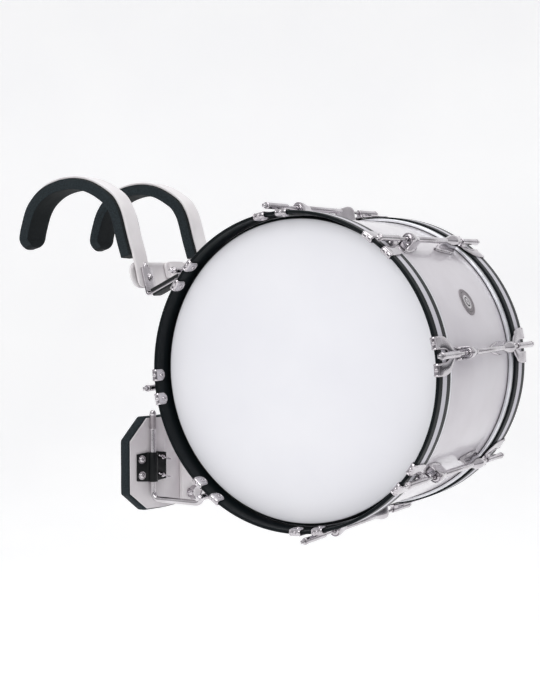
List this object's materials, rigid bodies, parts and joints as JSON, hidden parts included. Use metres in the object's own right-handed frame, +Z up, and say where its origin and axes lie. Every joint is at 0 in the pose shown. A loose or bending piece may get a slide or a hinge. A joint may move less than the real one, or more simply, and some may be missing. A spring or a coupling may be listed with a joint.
{
  "type": "marching bass drum",
  "caption": "Marching bass drum with tensioned heads, hanging by hooks on a shoulder carrier with padded arches and a belly plate.",
  "frame": {"origin": "the player's shoulders: under the highest points of the two pad arches, halfway between them", "axes": "+X forward, the way the player faces; +Y to the player's left, along the drum's axis; +Z up"},
  "size_m": [0.9783, 0.4718, 0.6821],
  "materials": {
    "shell_wrap": "white gloss wrap",
    "head_film": "coated white film",
    "hoop_lacquer": "black lacquer",
    "chrome": "bright chrome",
    "white_paint": "white gloss paint",
    "grey_paint": "pale grey satin paint",
    "foam": "black closed-cell foam",
    "black_paint": "black satin paint"
  },
  "bodies": {
    "carrier": {"right_shoulder_bar": "white_paint", "left_shoulder_bar": "white_paint", "right_shoulder_pad": "foam", "left_shoulder_pad": "foam", "yoke_plate": "white_paint", "spine": "white_paint", "right_drum_hook": "chrome", "left_drum_hook": "chrome"},
    "belly_unit": {"belly_plate": "grey_paint", "belly_pad": "foam", "right_rod_clamp": "black_paint", "left_rod_clamp": "black_paint"},
    "wing_bolt": {"spine_wing_bolt": "chrome"},
    "right_support": {"right_support_rod": "chrome"},
    "left_support": {"left_support_rod": "chrome"},
    "drum": {"shell": "shell_wrap", "front_head": "head_film", "back_head": "head_film", "front_hoop": "hoop_lacquer", "back_hoop": "hoop_lacquer", "lug_1": "chrome", "lug_2": "chrome", "lug_3": "chrome", "lug_4": "chrome", "lug_5": "chrome", "lug_6": "chrome", "lug_7": "chrome", "lug_8": "chrome", "front_claw_1": "chrome", "front_claw_2": "chrome", "front_claw_3": "chrome", "front_claw_4": "chrome", "front_claw_5": "chrome", "front_claw_6": "chrome", "front_claw_7": "chrome", "front_claw_8": "chrome", "back_claw_1": "chrome", "back_claw_2": "chrome", "back_claw_3": "chrome", "back_claw_4": "chrome", "back_claw_5": "chrome", "back_claw_6": "chrome", "back_claw_7": "chrome", "back_claw_8": "chrome"},
    "front_rod_1": {"front_rod_1": "chrome"},
    "front_rod_2": {"front_rod_2": "chrome"},
    "front_rod_3": {"front_rod_3": "chrome"},
    "front_rod_4": {"front_rod_4": "chrome"},
    "front_rod_5": {"front_rod_5": "chrome"},
    "front_rod_6": {"front_rod_6": "chrome"},
    "front_rod_7": {"front_rod_7": "chrome"},
    "front_rod_8": {"front_rod_8": "chrome"},
    "back_rod_1": {"back_rod_1": "chrome"},
    "back_rod_2": {"back_rod_2": "chrome"},
    "back_rod_3": {"back_rod_3": "chrome"},
    "back_rod_4": {"back_rod_4": "chrome"},
    "back_rod_5": {"back_rod_5": "chrome"},
    "back_rod_6": {"back_rod_6": "chrome"},
    "back_rod_7": {"back_rod_7": "chrome"},
    "back_rod_8": {"back_rod_8": "chrome"}
  },
  "joints": [
    {"name": "drum_lift", "type": "slide", "parent": "carrier", "child": "drum", "axis": [0.8832, 0, 0.4691], "range_m": [0, 0.12]},
    {"name": "belly_height", "type": "slide", "parent": "carrier", "child": "belly_unit", "axis": [0, 0, 1], "range_m": [-0.04, 0]},
    {"name": "wing_bolt_turn", "type": "hinge", "parent": "carrier", "child": "wing_bolt", "pos_m": [0.1806, 0, -0.6154], "axis": [1, 0, 0], "continuous": true},
    {"name": "right_support_slide", "type": "slide", "parent": "belly_unit", "child": "right_support", "axis": [0, 0, 1], "range_m": [-0.04, 0]},
    {"name": "left_support_slide", "type": "slide", "parent": "belly_unit", "child": "left_support", "axis": [0, 0, 1], "range_m": [-0.04, 0]},
    {"name": "front_rod_1_turn", "type": "hinge", "parent": "drum", "child": "front_rod_1", "pos_m": [0.49651, -0.15, -0.04421], "axis": [0, 1, 0], "continuous": true},
    {"name": "front_rod_2_turn", "type": "hinge", "parent": "drum", "child": "front_rod_2", "pos_m": [0.71904, -0.15, -0.10384], "axis": [0, 1, 0], "continuous": true},
    {"name": "front_rod_3_turn", "type": "hinge", "parent": "drum", "child": "front_rod_3", "pos_m": [0.83422, -0.15, -0.30335], "axis": [0, 1, 0], "continuous": true},
    {"name": "front_rod_4_turn", "type": "hinge", "parent": "drum", "child": "front_rod_4", "pos_m": [0.7746, -0.15, -0.52587], "axis": [0, 1, 0], "continuous": true},
    {"name": "front_rod_5_turn", "type": "hinge", "parent": "drum", "child": "front_rod_5", "pos_m": [0.57509, -0.15, -0.64106], "axis": [0, 1, 0], "continuous": true},
    {"name": "front_rod_6_turn", "type": "hinge", "parent": "drum", "child": "front_rod_6", "pos_m": [0.35256, -0.15, -0.58144], "axis": [0, 1, 0], "continuous": true},
    {"name": "front_rod_7_turn", "type": "hinge", "parent": "drum", "child": "front_rod_7", "pos_m": [0.23737, -0.15, -0.38193], "axis": [0, 1, 0], "continuous": true},
    {"name": "front_rod_8_turn", "type": "hinge", "parent": "drum", "child": "front_rod_8", "pos_m": [0.297, -0.15, -0.1594], "axis": [0, 1, 0], "continuous": true},
    {"name": "back_rod_1_turn", "type": "hinge", "parent": "drum", "child": "back_rod_1", "pos_m": [0.49651, 0.15, -0.04421], "axis": [0, 1, 0], "continuous": true},
    {"name": "back_rod_2_turn", "type": "hinge", "parent": "drum", "child": "back_rod_2", "pos_m": [0.71904, 0.15, -0.10384], "axis": [0, 1, 0], "continuous": true},
    {"name": "back_rod_3_turn", "type": "hinge", "parent": "drum", "child": "back_rod_3", "pos_m": [0.83422, 0.15, -0.30335], "axis": [0, 1, 0], "continuous": true},
    {"name": "back_rod_4_turn", "type": "hinge", "parent": "drum", "child": "back_rod_4", "pos_m": [0.7746, 0.15, -0.52587], "axis": [0, 1, 0], "continuous": true},
    {"name": "back_rod_5_turn", "type": "hinge", "parent": "drum", "child": "back_rod_5", "pos_m": [0.57509, 0.15, -0.64106], "axis": [0, 1, 0], "continuous": true},
    {"name": "back_rod_6_turn", "type": "hinge", "parent": "drum", "child": "back_rod_6", "pos_m": [0.35256, 0.15, -0.58144], "axis": [0, 1, 0], "continuous": true},
    {"name": "back_rod_7_turn", "type": "hinge", "parent": "drum", "child": "back_rod_7", "pos_m": [0.23737, 0.15, -0.38193], "axis": [0, 1, 0], "continuous": true},
    {"name": "back_rod_8_turn", "type": "hinge", "parent": "drum", "child": "back_rod_8", "pos_m": [0.297, 0.15, -0.1594], "axis": [0, 1, 0], "continuous": true}
  ]
}
